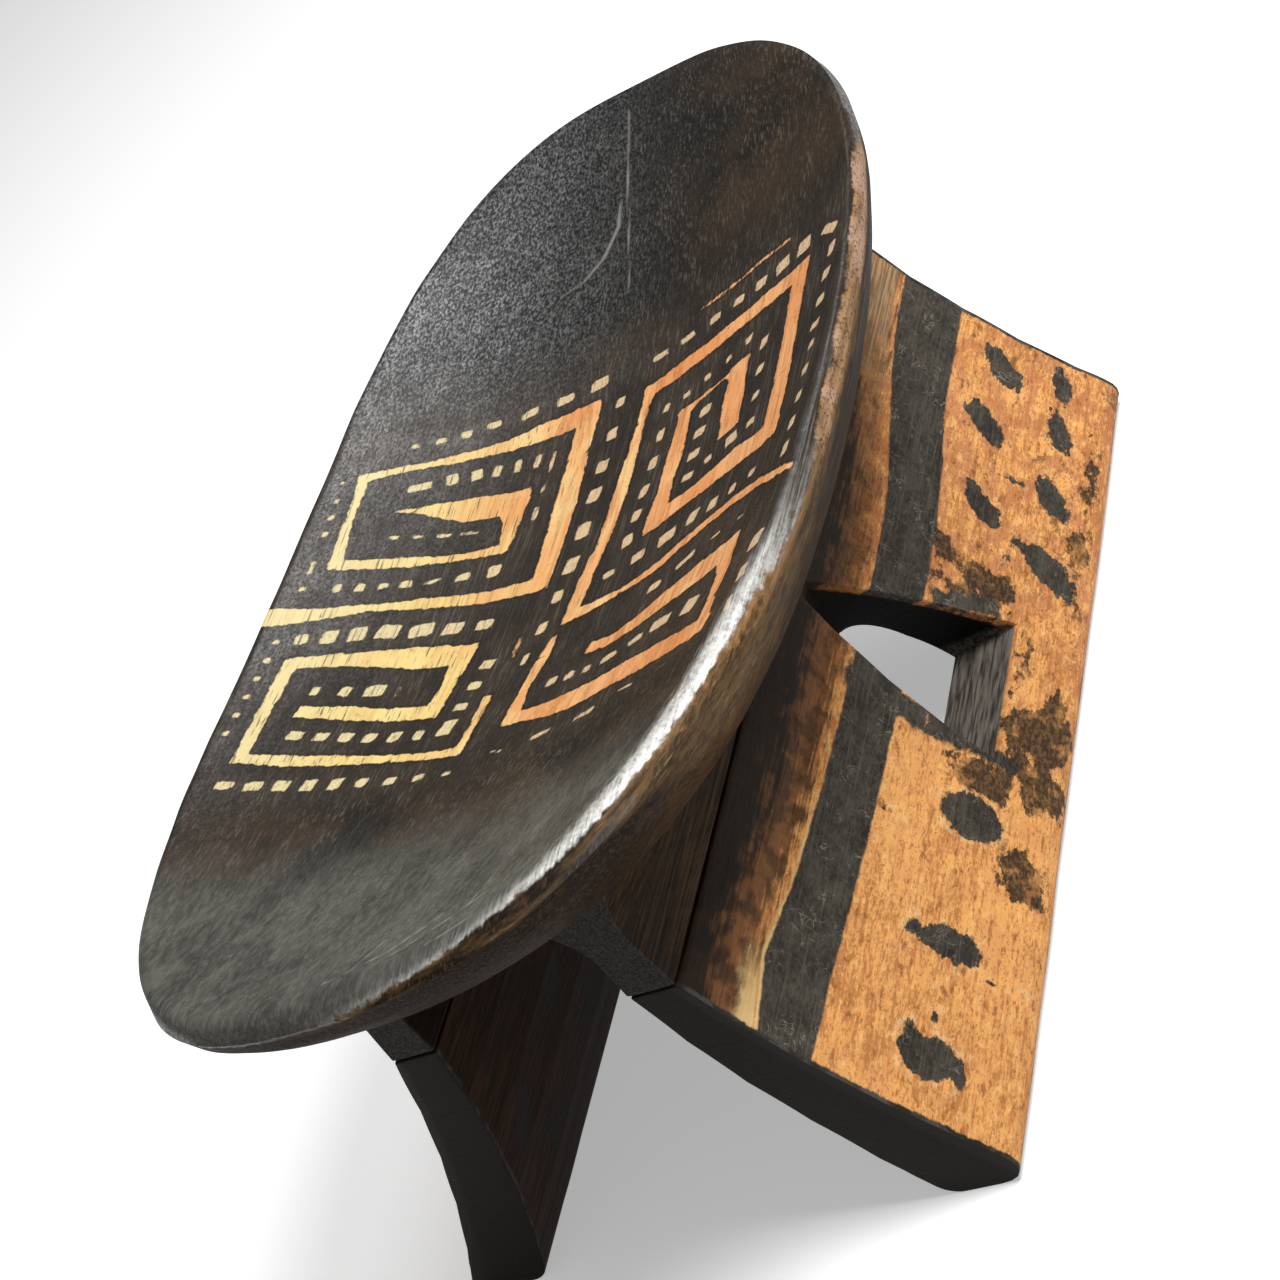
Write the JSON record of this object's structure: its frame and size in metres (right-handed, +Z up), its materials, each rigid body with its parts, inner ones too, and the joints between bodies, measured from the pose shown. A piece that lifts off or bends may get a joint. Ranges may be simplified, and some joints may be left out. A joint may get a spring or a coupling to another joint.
{
  "type": "headrest",
  "caption": "Low wooden headrest with a dished oval rest carried on leaning side panels, each pierced by a pointed window, painted with a meander on top and animal spots on the sides.",
  "frame": {"origin": "on the floor, under the middle of the rest", "axes": "+X across the rest towards the right panel, +Y along the rest, +Z up"},
  "size_m": [0.178, 0.34, 0.1467],
  "materials": {
    "rest_paint": "charcoal paint, rubbed to a low gloss, worn to bare wood along the rim",
    "panel_paint": "orange paint over streaky wood, with a black band and dark spots"
  },
  "bodies": {
    "root": {"rest": "rest_paint", "right_panel": "panel_paint", "left_panel": "panel_paint"}
  },
  "joints": []
}
